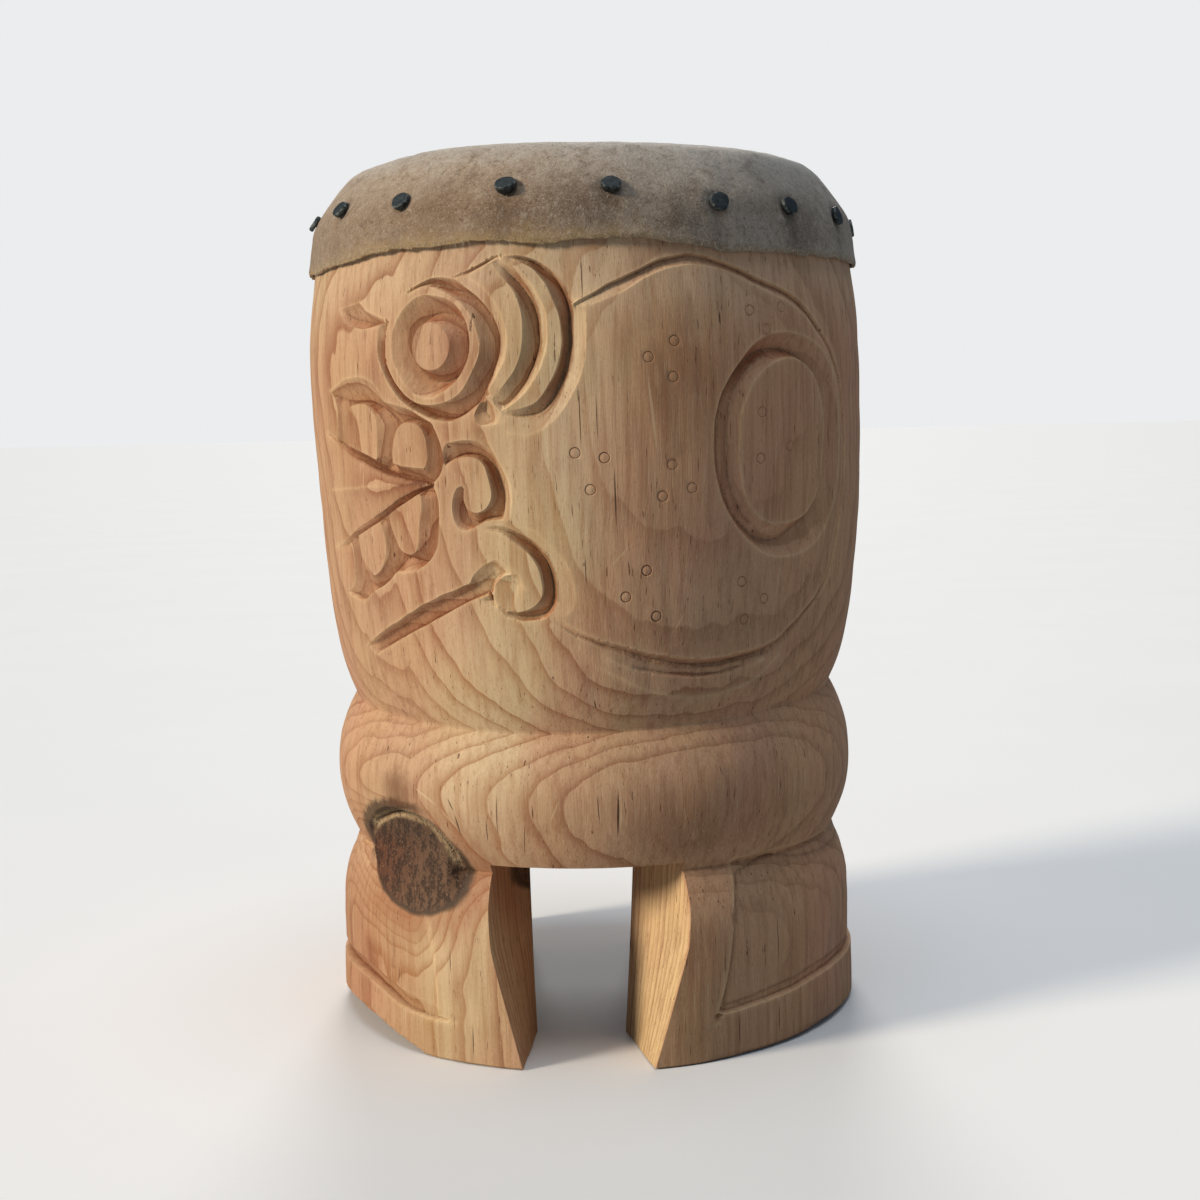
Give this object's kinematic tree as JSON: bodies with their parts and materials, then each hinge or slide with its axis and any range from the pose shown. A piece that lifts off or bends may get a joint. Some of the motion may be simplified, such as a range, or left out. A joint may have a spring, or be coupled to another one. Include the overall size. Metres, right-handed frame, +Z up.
{
  "type": "log drum with nailed hide head",
  "caption": "small upright hand drum carved from a hollow pine log that stands on broad legs, with a face in profile, a ring bulge and a hair-on hide head nailed round its rim",
  "frame": {"origin": "on the ground in the middle of the feet, on the axis of the log", "axes": "+Z up along the log, -Y out of the front of the drum, where the slot between the legs is, +X to the right of a viewer who faces the front"},
  "size_m": [0.3004, 0.2998, 0.4566],
  "materials": {
    "pine": "bare carved pine, lightly sanded",
    "hide": "hair-on rawhide, short grey-brown hair",
    "iron": "blackened iron"
  },
  "bodies": {
    "root": {"drum_body": "pine", "drumhead_hide": "hide", "tack_01": "iron", "tack_02": "iron", "tack_03": "iron", "tack_04": "iron", "tack_05": "iron", "tack_06": "iron", "tack_07": "iron", "tack_08": "iron", "tack_09": "iron", "tack_10": "iron", "tack_11": "iron", "tack_12": "iron", "tack_13": "iron", "tack_14": "iron", "tack_15": "iron", "tack_16": "iron", "tack_17": "iron", "tack_18": "iron"}
  },
  "joints": []
}
